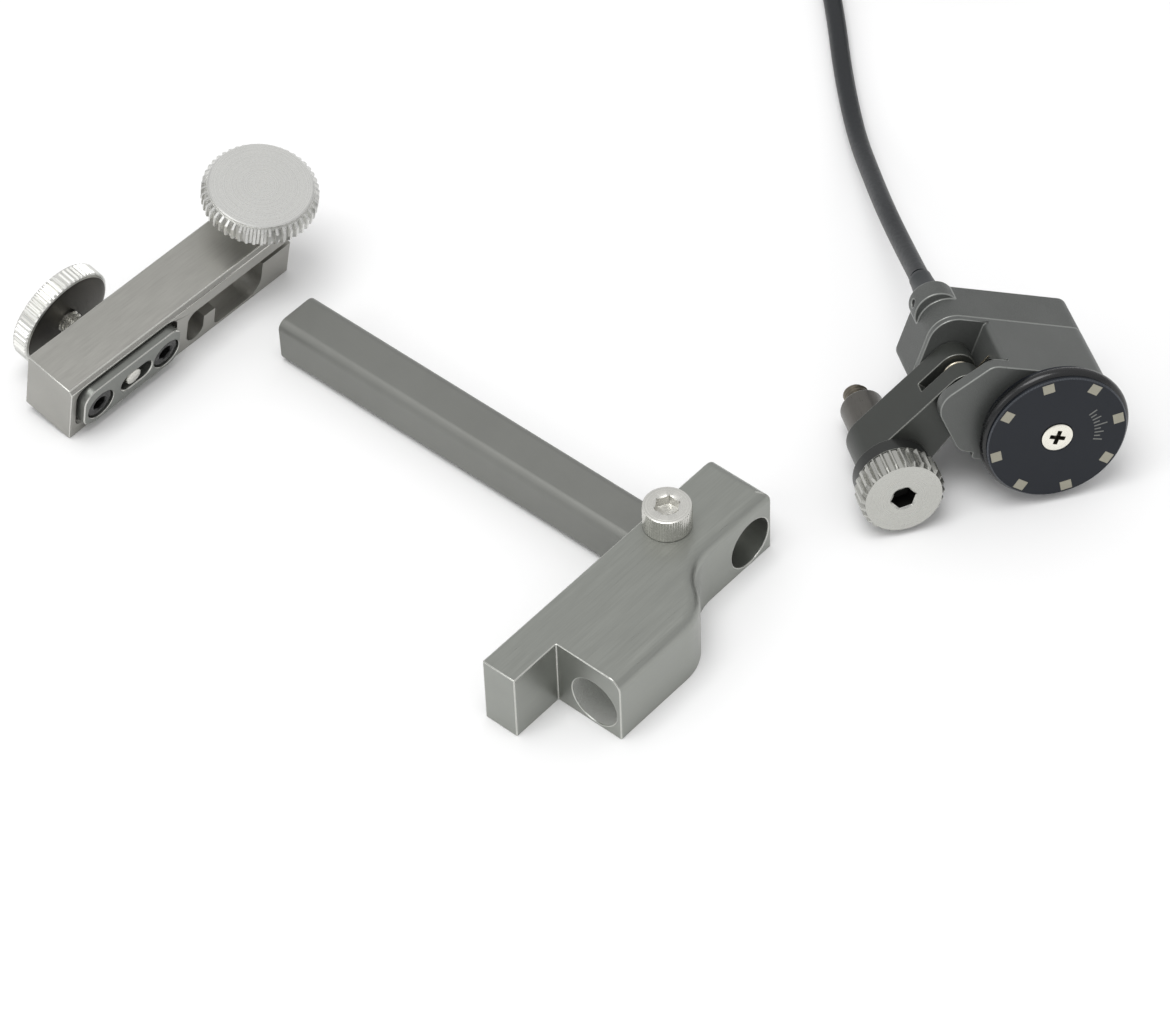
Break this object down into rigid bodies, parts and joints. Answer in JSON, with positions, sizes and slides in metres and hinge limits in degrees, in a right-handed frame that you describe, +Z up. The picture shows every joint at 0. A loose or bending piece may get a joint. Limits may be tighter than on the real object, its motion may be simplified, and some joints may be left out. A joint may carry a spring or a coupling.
{
  "type": "timegrapher pick-up kit",
  "caption": "Friction-wheel pick-up with lead, hinged arm and knurled thumbscrew, a stepped cross bracket with a square bar, and a clamp arm with a jaw plate.",
  "frame": {"origin": "middle of the kit's footprint, on the surface that it lies on, without the free lead", "axes": "+Z up from the surface, +X along the row of the three assemblies, from the clamp arm to the pick-up head"},
  "size_m": [0.1474, 0.1575, 0.018],
  "materials": {
    "bracket_alloy": "brushed along its length, edges broken bright",
    "bar_alloy": "bead blasted",
    "screw_steel": "bright stainless, turned and knurled",
    "clamp_alloy": "brushed, fine edges bright",
    "black_steel": "black oxide",
    "knob_alloy": "turned and knurled, bright",
    "wheel_anodised": "navy anodised, satin",
    "mark_silver": "bright marks",
    "tyre_rubber": "smooth black",
    "housing_grey": "dark grey, fine cast texture",
    "arm_grey": "dark grey satin, bright worn edges",
    "bearing_steel": "ground and polished",
    "board_green": "solder mask",
    "chip_black": "moulded",
    "spring_steel": "drawn wire",
    "cable_sheath": "satin black sheath",
    "plug_black": "moulded",
    "plug_metal": "nickel plated",
    "pin_gold": "gold plated"
  },
  "bodies": {
    "cross_bracket": {"cross_block": "bracket_alloy", "square_bar": "bar_alloy", "bar_screw": "screw_steel"},
    "clamp_arm": {"clamp_body": "clamp_alloy", "jaw_plate": "clamp_alloy", "jaw_screws": "black_steel"},
    "rear_pad": {"push_pin": "screw_steel"},
    "rear_thumbscrew": {"rear_knob": "knob_alloy", "rear_stud": "screw_steel"},
    "top_pad": {"top_washer": "screw_steel"},
    "top_thumbscrew": {"top_knob": "knob_alloy", "top_stud": "screw_steel"},
    "sensor_head": {"rear_shell": "housing_grey", "front_body": "housing_grey", "housing_screws": "black_steel", "front_bearing": "bearing_steel", "rear_bearing": "bearing_steel", "bearing_spacer": "bracket_alloy", "circuit_board": "board_green", "sensor_chip": "chip_black", "pivot_pin": "spring_steel", "torsion_spring": "spring_steel", "grub_screw": "black_steel", "cable_boot": "cable_sheath", "cable_lead": "cable_sheath", "cable_coil": "cable_sheath", "cable_tail": "cable_sheath", "plug_boot": "plug_black", "plug_shell": "plug_black", "plug_collar": "plug_metal", "plug_pins": "pin_gold"},
    "wheel": {"wheel_disc": "wheel_anodised", "index_marks": "mark_silver", "wheel_tyre": "tyre_rubber", "wheel_screw": "screw_steel", "wheel_axle": "screw_steel", "axle_clip": "spring_steel", "encoder_magnet": "bearing_steel"},
    "swing_arm": {"swing_arm": "arm_grey", "arm_post": "arm_grey"},
    "knob_pad": {"arm_washer": "black_steel"},
    "arm_thumbscrew": {"arm_knob": "knob_alloy", "arm_stud": "screw_steel"}
  },
  "joints": [
    {"name": "clamp_arm_lift", "type": "slide", "parent": "cross_bracket", "child": "clamp_arm", "axis": [0, 0, 1], "range_m": [0, 0.05]},
    {"name": "rear_pin_slide", "type": "slide", "parent": "clamp_arm", "child": "rear_pad", "axis": [0.7088, -0.6752, -0.2045], "range_m": [-0.0005, 0.002]},
    {"name": "rear_thumbscrew_turn", "type": "hinge", "parent": "rear_pad", "child": "rear_thumbscrew", "pos_m": [-0.05589, 0.02068, 0.00624], "axis": [0.7088, -0.6752, -0.2045], "range_deg": [-360, 1440]},
    {"name": "top_washer_slide", "type": "slide", "parent": "clamp_arm", "child": "top_pad", "axis": [0.1481, -0.1411, 0.9789], "range_m": [0, 0.0018]},
    {"name": "top_thumbscrew_turn", "type": "hinge", "parent": "top_pad", "child": "top_thumbscrew", "pos_m": [-0.03381, 0.03266, 0.01219], "axis": [0.1481, -0.1411, 0.9789], "range_deg": [0, 1440]},
    {"name": "sensor_head_lift", "type": "slide", "parent": "cross_bracket", "child": "sensor_head", "axis": [0, 0, 1], "range_m": [0, 0.05]},
    {"name": "wheel_spin", "type": "hinge", "parent": "sensor_head", "child": "wheel", "pos_m": [0.05283, -0.00212, 0.00848], "axis": [0.2084, -0.9687, 0.135], "continuous": true},
    {"name": "arm_swing", "type": "hinge", "parent": "sensor_head", "child": "swing_arm", "pos_m": [0.04327, -0.0002, 0.01295], "axis": [0.2084, -0.9687, 0.135], "range_deg": [-60, 18], "stiffness_Nm_per_rad": 0.02},
    {"name": "arm_washer_slide", "type": "slide", "parent": "swing_arm", "child": "knob_pad", "axis": [0.2084, -0.9687, 0.135], "range_m": [0, 0.002]},
    {"name": "arm_thumbscrew_turn", "type": "hinge", "parent": "knob_pad", "child": "arm_thumbscrew", "pos_m": [0.03568, -0.0062, 0.00458], "axis": [0.2084, -0.9687, 0.135], "range_deg": [0, 1440]}
  ]
}
